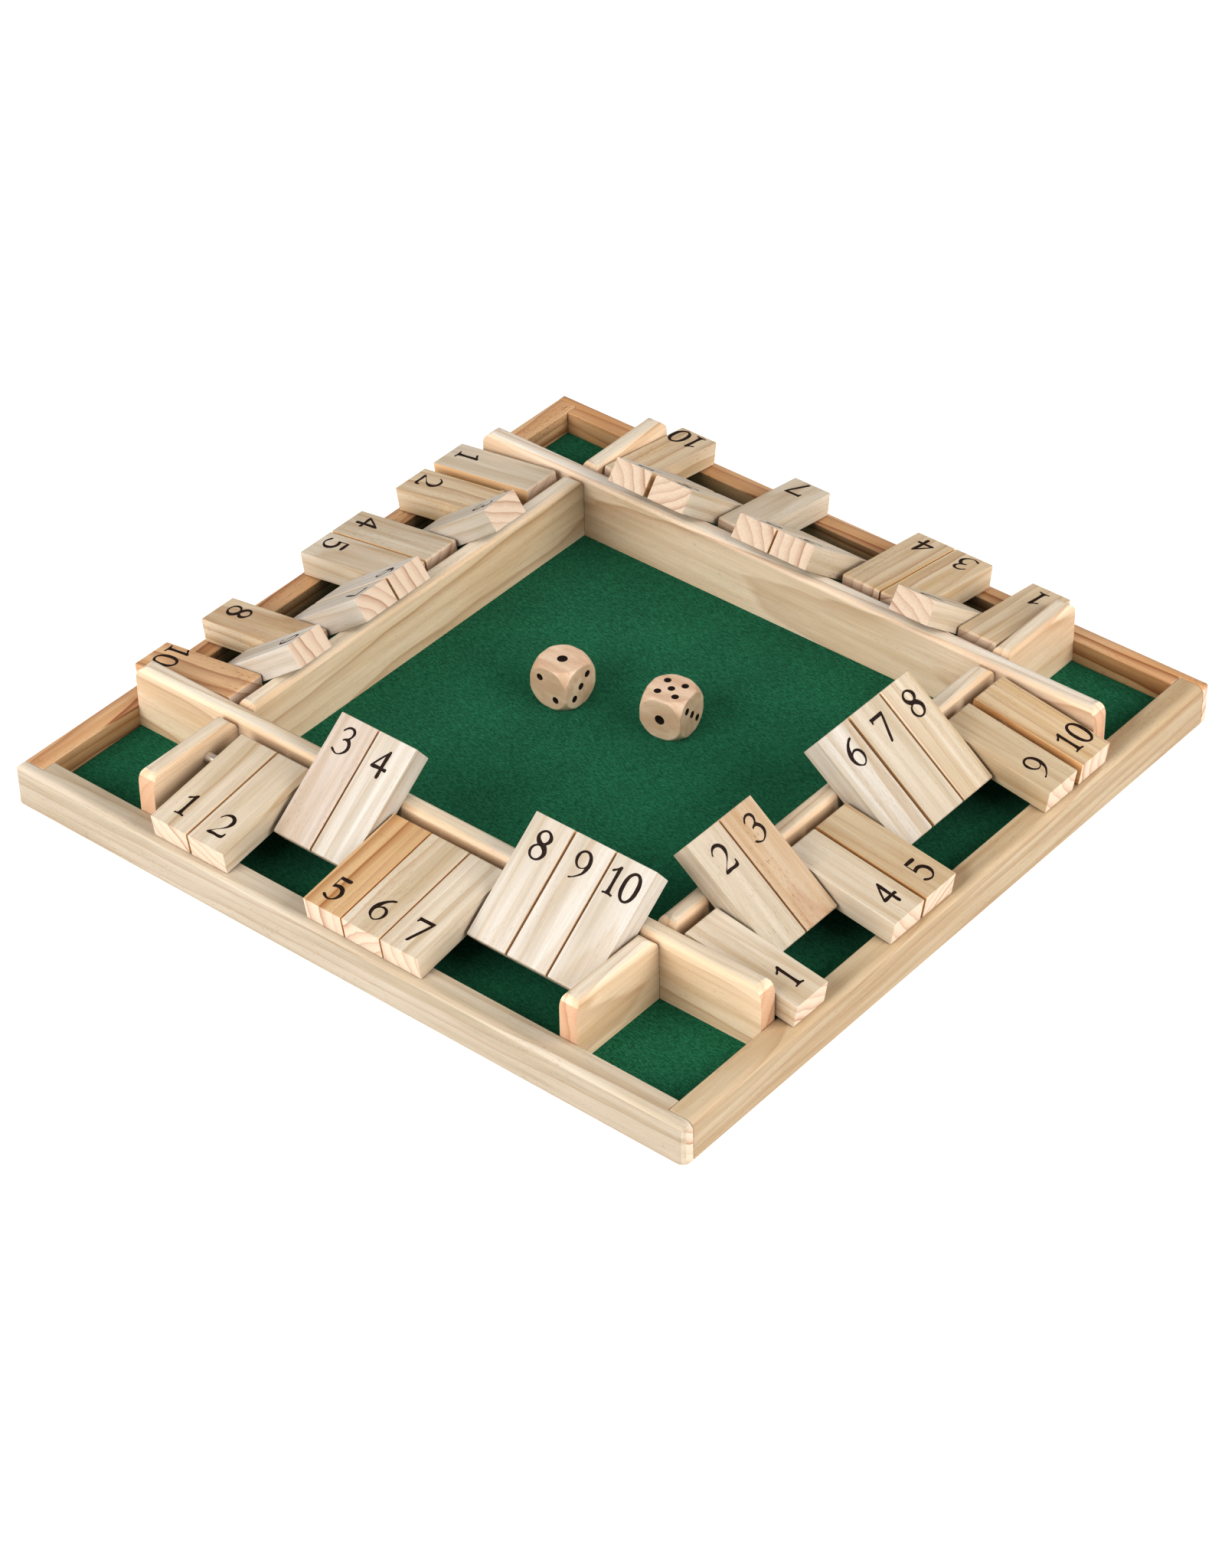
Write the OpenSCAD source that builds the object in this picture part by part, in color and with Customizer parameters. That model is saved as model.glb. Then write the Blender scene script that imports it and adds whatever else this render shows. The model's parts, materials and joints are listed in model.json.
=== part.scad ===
// Shut the box game for four players.
// A square frame of pine rails holds a felt covered base. Four boards, halved into each other
// where they cross, stand on the felt and part it into a dice tray, four corner pockets and
// four channels. Each channel has a steel rod with ten numbered tiles that flip from the outer
// rail, over the rod, onto the wall of the dice tray.
// Origin: middle of the footprint, on the table. +Z is up. The front row lies along -Y.

/* [Outer frame] */
// Width of a rail, seen from above
rail_w = 9.7; // [8:0.1:11]
// Height of a rail
rail_h = 15.4; // [14:0.1:17]
// Radius of the rounded outer top edge of the rails
rail_round = 3.2; // [1:0.1:4]
// Radius of the frame's rounded upright corners
corner_round = 3; // [1:0.1:4]
// Wood left outside the rabbets: a long rail's lip at its corners, and under every inner edge
lip_t = 4.6; // [4.2:0.1:6]

/* [Base and felt] */
// Thickness of the base board
base_t = 5; // [3:0.1:6]
// Height of the base board's underside above the table
base_lift = 0.9; // [0.3:0.1:2]
// Thickness of the felt
felt_t = 1; // [0.5:0.1:2]
// Gap between the felt's cut edge and the rails
felt_gap = 0.2; // [0.1:0.05:0.5]

/* [Walls] */
// Clear width of a tile channel, from the wall of the dice tray to the rail
channel_w = 40.1; // [39:0.1:44]
// Thickness of a wall
wall_t = 6.9; // [6:0.1:8]
// Height of a wall above the felt
wall_h = 25; // [23.5:0.1:26]
// Radius of the rounded edges along the top of a wall
wall_round = 2.2; // [0.5:0.1:2.8]
// Radius of a wall's upper corners, seen from the side
wall_corner = 5; // [2:0.1:6]
// Gap on each side of a wall inside the notch of the wall that it crosses
lap_gap = 0.1; // [0.05:0.01:0.3]
// Height of the crossing joint's seat, as a share of the wall's height
lap_share = 0.5; // [0.4:0.01:0.55]

/* [Rods] */
// Diameter of a tile rod
rod_d = 4; // [3:0.1:4.6]
// Distance from the tray wall's outer face to the rod's axis
rod_reach = 14.9; // [14.2:0.1:15.6]
// Height of the rod's axis above the rails
rod_rise = 9.6; // [9:0.1:10.4]
// Chamfer on a rod's ends
rod_chamfer = 0.4; // [0.1:0.05:0.8]
// Depth of the blind holes that hold the rod's ends
hole_depth = 4; // [2:0.1:5]
// Radial gap between a rod's end and its blind hole
hole_gap = 0.05; // [0.01:0.01:0.1]
// Gap between a rod's end and the bottom of its hole
hole_end_gap = 0.2; // [0.1:0.05:0.5]

/* [Tiles] */
// Length of a tile
tile_l = 44.7; // [43.5:0.1:45.5]
// Width of a tile along the rod
tile_w = 15.7; // [15:0.1:16.5]
// Thickness of a tile
tile_t = 9; // [7.5:0.1:9.5]
// Distance from a tile's inner end to the rod's axis
tile_tail = 11.6; // [10.5:0.1:12.2]
// Radius of the rounded edges at a tile's inner end
tail_round = 0.8; // [0.4:0.1:3]
// Radial gap between a tile's bore and the rod
bore_gap = 0.1; // [0.05:0.01:0.3]
// Least gap between two tiles, or between a tile and a wall
side_gap = 0.5; // [0.1:0.05:0.7]
// Loose room left along a whole row of tiles beyond those gaps
row_play = 9.1; // [6:0.1:16]
// Gap between a tile at rest and the wood that it rests on
seat_gap = 0.05; // [0.02:0.01:0.2]

/* [Dice] */
// Side of a die, face to face
die_side = 16; // [14:0.5:18]
// Radius of the ball that rounds a die's corners, as a share of its side
die_ball_share = 0.725; // [0.7:0.005:0.8]
// Radius of the rounded edges between a die's faces
die_round = 1.6; // [0.4:0.1:2.5]
// Distance between neighbouring pips
pip_pitch = 3.4; // [3:0.1:4]
// Diameter of a pip
pip_d = 2.6; // [2:0.1:3]
// Diameter of the single pip that marks the one
one_pip_d = 3.7; // [2:0.1:5]
// Depth of a pip
pip_depth = 0.4; // [0.2:0.05:0.8]

/* [Hidden] */
overrun = 1;
round_steps = 6;
quarter = 90;
tile_count = 10;
$fn = 64;

// Heights, all above the table
felt_z = base_lift + base_t;
floor_z = felt_z + felt_t;
wall_top = floor_z + wall_h;
lap_z = floor_z + lap_share * wall_h;
rod_z = rail_h + rod_rise;

// Side of the dice tray, which is as long as a row of tiles with its gaps and loose room
tray_side = tile_count * tile_w + (tile_count + 1) * side_gap + row_play;

// Half widths, all from the middle of the board
tray_half = tray_side / 2;
wall_mid = tray_half + wall_t / 2;
wall_face = tray_half + wall_t;
rod_y = wall_face + rod_reach;
bed_half = wall_face + channel_w;
frame_half = bed_half + rail_w;
frame_side = 2 * frame_half;
rabbet_w = rail_w - lip_t;

// Angles at which tiles rest, from level outward and up. A flat tile's lower outer edge lies
// on the rail, and a raised tile leans on the rounded edge of the tray wall.
tile_arm = tile_l - tile_tail;
edge_reach = norm([tile_arm, tile_t / 2]);
edge_angle = atan2(tile_t / 2, tile_arm);
flat_angle = edge_angle - asin((rod_rise - seat_gap) / edge_reach);
lean_in = rod_reach + wall_round;
lean_up = wall_top - wall_round - rod_z;
raised_angle = atan2(lean_up, -lean_in)
    - asin((tile_t / 2 + wall_round + seat_gap) / norm([lean_in, lean_up]));

// Sides of the board, in turn, each a quarter turn on from the one before
SIDES = ["front", "right", "back", "left"];
// Numbers of the tiles that stand flipped over, row by row
RAISED = [[3, 4, 8, 9, 10], [2, 3, 6, 7, 8], [2, 5, 6, 8, 9], [3, 6, 7, 9]];
// How the loose room of each row is shared out before, between and after its tiles
gap_shares = [
    [60, 3, 14, 2, 3, 1, 1, 8, 4, 3, 1],
    [1, 9, 2, 5, 8, 9, 8, 3, 8, 28, 19],
    [1, 1, 1, 1, 23, 3, 37, 13, 16, 2, 2],
    [19, 45, 6, 8, 3, 6, 5, 5, 1, 1, 1]
];

// Places of the dice, as shares of half the tray, and how far each is turned
die_place_shares = [[-0.36, 0.096], [0.098, 0.212]];
DIE_TURNS = [0, 8.7];
// Pips on each die's front, right, back, left, top and bottom faces, and the faces whose
// pips lie a quarter turn round from the usual
DIE_PIPS = [[2, 3, 5, 4, 1, 6], [1, 3, 6, 4, 5, 2]];
DIE_PIP_TURNS = [[0, 1, 0, 0, 0, 0], [0, 0, 0, 0, 0, 0]];

function tile_name(s, n) = str(SIDES[s], "_tile_", n);

function is_raised(s, n) = len([for (raised = RAISED[s]) if (raised == n) n]) > 0;

function sum_first(list, count) = count == 0 ? 0 : list[count - 1] + sum_first(list, count - 1);

// Middle of tile n along its rod
function tile_place(s, n) =
    n * side_gap + (n - 1) * tile_w + tile_w / 2 - tray_half
    + row_play * sum_first(gap_shares[s], n) / sum_first(gap_shares[s], tile_count + 1);

// Points on an arc about a centre, from one angle to another
function arc(centre, r, from, to) =
    [for (i = [0:round_steps])
        let (angle = from + (to - from) * i / round_steps)
        centre + r * [cos(angle), sin(angle)]];

// Where the pips of a face lie, in steps of the pip pitch
function pip_spots(count) =
    count == 1 ? [[0, 0]]
    : count == 2 ? [[-1, 1], [1, -1]]
    : count == 3 ? [[-1, 1], [0, 0], [1, -1]]
    : count == 4 ? [for (x = [-1, 1], y = [-1, 1]) [x, y]]
    : count == 5 ? concat([[0, 0]], pip_spots(4))
    : [for (x = [-1, 1], y = [-1, 0, 1]) [x, y]];

// Puts a piece drawn for the front on another side of the board
module on_side(s) {
    rotate([0, 0, s * quarter]) children();
}

// Outline of a rail seen from its end, with its outer face at x = 0: rounded at the outer top
// edge, and rabbeted at the inner bottom edge for the base board
module rail_outline() {
    polygon(concat(
        [[0, 0]],
        arc([rail_round, rail_h - rail_round], rail_round, 180, 90),
        [[rail_w, rail_h], [rail_w, felt_z], [lip_t, felt_z], [lip_t, 0]]
    ));
}

// A front rail's bar, before its ends are worked
module rail_bar(length) {
    translate([-length / 2, -frame_half, 0])
        rotate([quarter, 0, quarter])
            linear_extrude(length) rail_outline();
}

// The space inside the frame's outer surface, which trims the ends of the long rails
module frame_envelope() {
    corner = frame_half - corner_round;
    edge = frame_half - rail_round;
    intersection() {
        linear_extrude(rail_h)
            polygon(concat(
                arc([corner, corner], corner_round, 0, 90),
                arc([-corner, corner], corner_round, 90, 180),
                arc([-corner, -corner], corner_round, 180, 270),
                arc([corner, -corner], corner_round, 270, 360)
            ));
        translate([0, frame_half, 0])
            rotate([quarter, 0, 0])
                linear_extrude(frame_side)
                    polygon(concat(
                        [[-frame_half, 0]],
                        arc([-edge, rail_h - rail_round], rail_round, 180, 90),
                        arc([edge, rail_h - rail_round], rail_round, 90, 0),
                        [[frame_half, 0]]
                    ));
    }
}

// Front or back rail: full length, with a rabbet at each end that takes a side rail
module long_rail() {
    color("BurlyWood")
        difference() {
            intersection() {
                rail_bar(frame_side);
                frame_envelope();
            }
            for (end = [0, 1])
                mirror([end, 0, 0])
                    translate([bed_half, lip_t - frame_half, -overrun])
                        cube([rail_w + overrun, rail_w, rail_h + 2 * overrun]);
        }
}

// Left or right rail, between the lips of the long rails
module side_rail() {
    color("SandyBrown") rail_bar(frame_side - 2 * lip_t);
}

// Board let into the rabbets of the rails
module base_board() {
    half = bed_half + rabbet_w;
    color("Tan")
        translate([-half, -half, base_lift]) cube([2 * half, 2 * half, base_t]);
}

// Felt glued on the base board, inside the rails
module felt() {
    half = bed_half - felt_gap;
    color("DarkGreen")
        translate([-half, -half, felt_z]) cube([2 * half, 2 * half, felt_t]);
}

// Outline of a wall seen from its end
module wall_section() {
    edge = wall_t / 2 - wall_round;
    polygon(concat(
        [[-wall_t / 2, floor_z]],
        arc([-edge, wall_top - wall_round], wall_round, 180, 90),
        arc([edge, wall_top - wall_round], wall_round, 90, 0),
        [[wall_t / 2, floor_z]]
    ));
}

// Quarter round at a wall's upper corner that ends at a place along it
function left_corner(end) = arc([end + wall_corner, wall_top - wall_corner], wall_corner, 180, 90);
function right_corner(end) = arc([end - wall_corner, wall_top - wall_corner], wall_corner, 90, 0);

// Outline of a wall seen from its side. The front and back walls are notched from below,
// and the side walls from above, with rounded shoulders.
module wall_side(notched_above) {
    notch_out = wall_face + lap_gap;
    notch_in = tray_half - lap_gap;
    polygon(concat(
        [[-bed_half, floor_z]],
        left_corner(-bed_half),
        notched_above ? concat(
            right_corner(-notch_out), [[-notch_out, lap_z], [-notch_in, lap_z]],
            left_corner(-notch_in), right_corner(notch_in),
            [[notch_in, lap_z], [notch_out, lap_z]], left_corner(notch_out)
        ) : [],
        right_corner(bed_half),
        [[bed_half, floor_z]],
        notched_above ? [] : [
            [notch_out, floor_z], [notch_out, lap_z], [notch_in, lap_z], [notch_in, floor_z],
            [-notch_in, floor_z], [-notch_in, lap_z], [-notch_out, lap_z], [-notch_out, floor_z]
        ]
    ));
}

// Wall on the front side: a round topped board from rail to rail, with a blind hole for a
// rod of each neighbouring side in its inner face
module wall(notched_above) {
    color("Wheat")
        translate([0, -wall_mid, 0])
            difference() {
                intersection() {
                    rotate([quarter, 0, quarter])
                        linear_extrude(2 * bed_half, center = true) wall_section();
                    rotate([quarter, 0, 0])
                        linear_extrude(wall_t, center = true) wall_side(notched_above);
                }
                for (end = [-1, 1])
                    translate([end * rod_y, wall_t / 2 - hole_depth, rod_z])
                        rotate([-quarter, 0, 0])
                            cylinder(h = hole_depth + overrun, r = rod_d / 2 + hole_gap);
            }
}

// Steel rod on the front side, with its ends in the blind holes of the side walls
module rod() {
    half = tray_half + hole_depth - hole_end_gap;
    color("Silver")
        translate([0, -rod_y, rod_z])
            rotate([0, quarter, 0])
                rotate_extrude()
                    polygon([
                        [0, -half], [rod_d / 2 - rod_chamfer, -half],
                        [rod_d / 2, rod_chamfer - half], [rod_d / 2, half - rod_chamfer],
                        [rod_d / 2 - rod_chamfer, half], [0, half]
                    ]);
}

// Tile, seen from its side, with the rod's axis at the origin and its number end at +x
module tile_outline() {
    tail = tile_tail - tail_round;
    edge = tile_t / 2 - tail_round;
    polygon(concat(
        [[tile_arm, -tile_t / 2], [tile_arm, tile_t / 2]],
        arc([-tail, edge], tail_round, 90, 180),
        arc([-tail, -edge], tail_round, 180, 270)
    ));
}

// Tile n of a side, bored across for its rod and turned to the angle at which it rests
module tile(s, n) {
    angle = is_raised(s, n) ? raised_angle : flat_angle;
    color(is_raised(s, n) ? "Bisque" : "BurlyWood")
        translate([tile_place(s, n), -rod_y, rod_z])
            rotate([-angle, 0, 0])
                rotate([quarter, 0, -quarter])
                    difference() {
                        linear_extrude(tile_w, center = true) tile_outline();
                        cylinder(h = tile_w + 2 * overrun, r = rod_d / 2 + bore_gap, center = true);
                    }
}

// One face's pips, as shallow hollows in the top of a die about the origin
module pips(which, face) {
    count = DIE_PIPS[which][face];
    d = count == 1 ? one_pip_d : pip_d;
    ball_r = (d * d / 4 + pip_depth * pip_depth) / (2 * pip_depth);
    rotate([0, 0, DIE_PIP_TURNS[which][face] * quarter])
        for (spot = pip_spots(count))
            translate([spot[0] * pip_pitch, spot[1] * pip_pitch,
                       die_side / 2 + ball_r - pip_depth])
                sphere(ball_r);
}

// Square bar with rounded edges, along Z, as wide as a die
module rounded_bar() {
    centre = die_side / 2 - die_round;
    linear_extrude(die_side, center = true)
        polygon([
            for (corner = [0:3])
                each arc(centre * [sign(cos(corner * quarter + quarter / 2)),
                                   sign(sin(corner * quarter + quarter / 2))],
                         die_round, corner * quarter, corner * quarter + quarter)
        ]);
}

// Die that lies on the felt: a cube with rounded edges, and corners rounded by a ball
module die(which) {
    spot = die_place_shares[which] * tray_half;
    color("RosyBrown")
        translate([spot[0], spot[1], floor_z + die_side / 2])
            rotate([0, 0, DIE_TURNS[which]])
                difference() {
                    intersection() {
                        rounded_bar();
                        rotate([quarter, 0, 0]) rounded_bar();
                        rotate([0, quarter, 0]) rounded_bar();
                        sphere(die_ball_share * die_side);
                    }
                    for (face = [0:3])
                        rotate([quarter, 0, face * quarter]) pips(which, face);
                    pips(which, 4);
                    mirror([0, 0, 1]) pips(which, 5);
                }
}

for (s = [0, 2])
    on_side(s) long_rail();
for (s = [1, 3])
    on_side(s) side_rail();
base_board();
felt();
for (s = [0:len(SIDES) - 1]) {
    on_side(s) wall(s % 2 == 1);
    on_side(s) rod();
    for (n = [1:tile_count])
        on_side(s) tile(s, n);
}
die(0);  // die_one
die(1);  // die_two
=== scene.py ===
"""Looks of an open, four player shut the box board in pale pine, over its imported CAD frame.

Shapes are worked out in millimetres in the board's own frame, and each mesh is written in metres
with its object at the origin. Wood is a solid pattern of growth rings, so a streak on a face
carries on over the edge and through the end grain.
"""

import json
import logging
import math
from collections.abc import Callable
from dataclasses import dataclass, field
from enum import Enum
from typing import ClassVar

import bmesh
import bpy
from bmesh.types import BMEdge, BMVert, BMesh
from bpy.types import bpy_prop_collection, ColorRamp, ID, Material, Mesh, NodeSocket, Object
from mathutils import Matrix, Vector, noise


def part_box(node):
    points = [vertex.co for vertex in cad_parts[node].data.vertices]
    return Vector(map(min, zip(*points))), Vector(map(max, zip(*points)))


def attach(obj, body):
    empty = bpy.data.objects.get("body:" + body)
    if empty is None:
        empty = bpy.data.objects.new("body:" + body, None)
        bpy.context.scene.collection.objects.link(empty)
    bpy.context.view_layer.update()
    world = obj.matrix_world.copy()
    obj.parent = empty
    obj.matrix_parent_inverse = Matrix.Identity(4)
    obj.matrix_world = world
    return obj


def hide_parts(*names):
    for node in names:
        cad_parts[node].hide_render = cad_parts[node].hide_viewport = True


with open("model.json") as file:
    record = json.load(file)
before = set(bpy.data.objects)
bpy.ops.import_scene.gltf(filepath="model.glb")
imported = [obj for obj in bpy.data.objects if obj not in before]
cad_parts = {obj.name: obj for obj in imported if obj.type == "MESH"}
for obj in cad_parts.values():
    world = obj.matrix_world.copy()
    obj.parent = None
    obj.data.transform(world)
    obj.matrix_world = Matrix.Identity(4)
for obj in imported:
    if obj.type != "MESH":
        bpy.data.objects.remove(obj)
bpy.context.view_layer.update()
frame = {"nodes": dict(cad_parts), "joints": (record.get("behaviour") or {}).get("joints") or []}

Triple = tuple[float, float, float]

MM = 0.001
QUARTER_TURN = math.pi / 2
# A face looks along an axis where its normal has more than this share of it
FACING = 0.8
DAYLIGHT: Triple = (1.0, 0.99, 0.975)
log = logging.getLogger("board")


def linear(code: str) -> tuple[float, float, float, float]:
    """The linear red, green, blue and alpha of a colour's six hexadecimal digits after a hash."""
    parts = [int(code[i:i + 2], 16) / 255 for i in (1, 3, 5)]
    return (*(c / 12.92 if c <= 0.04045 else ((c + 0.055) / 1.055) ** 2.4 for c in parts), 1.0)


# --- Shader graphs ---


def joining(operation: str) -> Callable[["Wire", "Wire | float"], "Wire"]:
    """Makes a Wire's operator from a Math node."""
    return lambda wire, other: wire.apply(operation, wire, other)


@dataclass(frozen=True)
class Wire:
    """An output of a shader node. Python's operators on it add the Math nodes they need."""

    graph: "Graph"
    socket: NodeSocket

    __add__ = __radd__ = joining("ADD")
    __sub__ = joining("SUBTRACT")
    __mul__ = __rmul__ = joining("MULTIPLY")
    __truediv__ = joining("DIVIDE")
    greater = joining("MAXIMUM")

    def __rsub__(self, other: float) -> "Wire":
        """The other less this."""
        return self.apply("SUBTRACT", other, self)

    def apply(self, operation: str, *terms: "Wire | float") -> "Wire":
        """The result of a Math node, from its operation and its inputs in order."""
        return self.graph.node("ShaderNodeMath", {"operation": operation}, dict(enumerate(terms)))

    def fraction(self) -> "Wire":
        """What this has above its whole number."""
        return self.apply("FRACT", self)

    def whole(self) -> "Wire":
        """The whole number at or below this."""
        return self.apply("FLOOR", self)

    def between(self, low: float, high: float) -> "Wire":
        """Rises smoothly from 0 where this is low to 1 where it is high."""
        return self.graph.node("ShaderNodeMapRange", {"interpolation_type": "SMOOTHSTEP"},
                               {"Value": self, "From Min": low, "From Max": high})

    def output(self, name: str) -> "Wire":
        """Another output of the same node."""
        return Wire(self.graph, find_socket(self.socket.node.outputs, name))


def find_socket(sockets: bpy_prop_collection, key: int | str) -> NodeSocket:
    """Finds a node's socket by its number, or by its name among those that are in use."""
    named = (s for s in sockets if s.name == key and s.enabled)
    return sockets[key] if isinstance(key, int) else next(named)


class Graph:
    """A material and the nodes in it."""

    def __init__(self, name: str) -> None:
        """Starts a material with no nodes but its output.

        Args:
            name: The material's name.
        """
        self.material = bpy.data.materials.new(name)
        self.material.use_nodes = True
        self.tree = self.material.node_tree
        self.tree.nodes.clear()

    def node(self, kind: str, settings: dict | None = None, sockets: dict | None = None,
             out: int | str = 0) -> Wire | None:
        """Adds a node, sets it and joins it up.

        Args:
            kind: The node's type.
            settings: Its own settings. "stops" holds a ramp's places and colours.
            sockets: What each input takes, a value or a Wire, by name or number.
            out: Which output to return.

        Returns:
            That output, or None where the node has none.
        """
        made = self.tree.nodes.new(kind)
        for key, value in (settings or {}).items():
            if key == "stops":
                self._set_stops(made.color_ramp, value)
            else:
                setattr(made, key, value)
        for key, value in (sockets or {}).items():
            socket = find_socket(made.inputs, key)
            if isinstance(value, Wire):
                self.tree.links.new(value.socket, socket)
            else:
                socket.default_value = value
        return Wire(self, find_socket(made.outputs, out)) if made.outputs else None

    @staticmethod
    def _set_stops(ramp: ColorRamp, stops: tuple[tuple, ...]) -> None:
        """Gives a ramp its stops.

        Args:
            ramp: The ramp, which starts with two.
            stops: The place and the grey or colour of each.
        """
        for i, (place, colour) in enumerate(stops):
            element = ramp.elements[i] if i < 2 else ramp.elements.new(place)
            element.position = place
            element.color = colour if isinstance(colour, tuple) else (colour,) * 3 + (1.0,)

    def vector(self, operation: str, *terms: "Wire | tuple", out: str = "Vector") -> Wire:
        """The result of a Vector Math node, which is its Value for a length or a dot product."""
        return self.node("ShaderNodeVectorMath", {"operation": operation},
                         dict(enumerate(terms)), out)

    def tint(self, colour: Wire, amount: Wire) -> Wire:
        """A colour made brighter or darker by a value."""
        return self.node("ShaderNodeVectorMath", {"operation": "SCALE"},
                         {0: colour, "Scale": amount})

    def mix(self, amount: Wire | float, first: Wire | tuple, second: Wire | tuple) -> Wire:
        """A blend of two colours, by the share of the second."""
        return self.node("ShaderNodeMix", {"data_type": "RGBA"},
                         {"Factor": amount, "A": first, "B": second}, "Result")

    def place(self, axes: Matrix | None = None, shift: Vector | None = None) -> Wire:
        """Where a point lies in a piece's own axes, in millimetres.

        Args:
            axes: The piece's place and turn, or None for the board's.
            shift: What is added, so that no two pieces are cut from the same spot.

        Returns:
            The place.
        """
        axes = axes or Matrix()
        turned = axes.to_3x3()
        return self.node("ShaderNodeMapping", {"vector_type": "TEXTURE"}, {
            "Vector": self.node("ShaderNodeTexCoord", out="Object"),
            "Location": (axes.translation - turned @ (shift or Vector())) * MM,
            "Rotation": turned.to_euler(),
            "Scale": (MM,) * 3,
        })

    def noise(self, at: Wire, size: Triple, detail: float, rough: float = 0.5,
              out: str = "Fac") -> Wire:
        """Adds a noise.

        Args:
            at: Where it is read, in millimetres.
            size: How long its features are each way.
            detail: How many finer layers it has.
            rough: How strong the finer layers are.
            out: Fac, or Color for three noises at once.

        Returns:
            The noise, from 0 to 1.
        """
        steps = self.vector("MULTIPLY", at, tuple(1 / length for length in size))
        return self.node("ShaderNodeTexNoise", {}, {
            "Vector": steps, "Scale": 1.0, "Detail": detail, "Roughness": rough}, out)

    def bump(self, height: Wire, strength: float, depth: float) -> Wire:
        """The normal of a relief that is some millimetres deep, at the strength it shows with."""
        return self.node("ShaderNodeBump", {}, {
            "Strength": strength, "Distance": depth * MM, "Height": height})

    def surface(self, **sockets: "Wire | float | tuple") -> Material:
        """Closes the graph with the shader of the piece.

        Args:
            sockets: The shader's inputs, with _ for a space in a name.

        Returns:
            The finished material.
        """
        inputs = {key.replace("_", " "): value for key, value in sockets.items()}
        shader = self.node("ShaderNodeBsdfPrincipled", {}, inputs)
        self.node("ShaderNodeOutputMaterial", {}, {"Surface": shader})
        return self.material


# --- Finishes ---


@dataclass(frozen=True)
class Tone:
    """Colours of one board of pine, and how plainly its latewood lines and its pores show."""

    early: str
    late: str
    blush: str
    lines: float = 0.6
    pores: float = 0.35
    end: str = "#D3C0AD"
    end_late: str = "#9C6C4C"


class Pine(Enum):
    """The boards that the pieces are cut from."""

    WHITE = Tone("#DDD6CD", "#B79360", "#CBBFAE", 0.5, 0.3)
    CREAM = Tone("#E1D5C4", "#B38B5C", "#D0BEA3", 0.55, 0.4)
    ROSE = Tone("#D4C7BC", "#AA7F5E", "#C4B19D", 0.5, 0.9)
    STRAW = Tone("#E2D1B8", "#A9763E", "#D6BA92", 0.7, 0.5)
    HONEY = Tone("#DDBF98", "#A3662D", "#CBA373", 1.0, 0.4)
    SALMON = Tone("#D0BCA4", "#AA7145", "#C4A683", 0.75, 1.0)
    AMBER = Tone("#E6C29A", "#9B5727", "#DAA979", 0.9, 1.0)
    LINEN = Tone("#F6E2CC", "#B98758", "#ECD1B3", 0.55, 0.3, "#C8A88E", "#B38361")
    SAND = Tone("#F4DEC4", "#B68352", "#E9CCA9", 0.55, 0.3, "#C8A78B", "#B3815D")
    BISCUIT = Tone("#D7CBBA", "#A57F52", "#C8B9A1", 0.4, 0.4)
    TAN = Tone("#D3C1A5", "#A1713D", "#C5AA86", 0.5, 0.4)


@dataclass(frozen=True)
class Cut:
    """How a piece lay in the log: where the heart was, in its own section, and its rings."""

    turn: float
    reach: float
    pitch: float = 3.4
    runout: float = 0.02


class Sawn(Enum):
    """Ways a piece is sawn from the log."""

    QUARTER = Cut(6, 95, 4.6, 0.012)
    RIFT = Cut(38, 70, 4.2, 0.02)
    STEEP = Cut(62, 60, 3.8, 0.03)
    FLAT = Cut(86, 42, 4.0, 0.045)
    SLASH = Cut(-52, 64, 3.6, 0.025)
    BROAD = Cut(4, 70, 5.6, 0.006)


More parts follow.
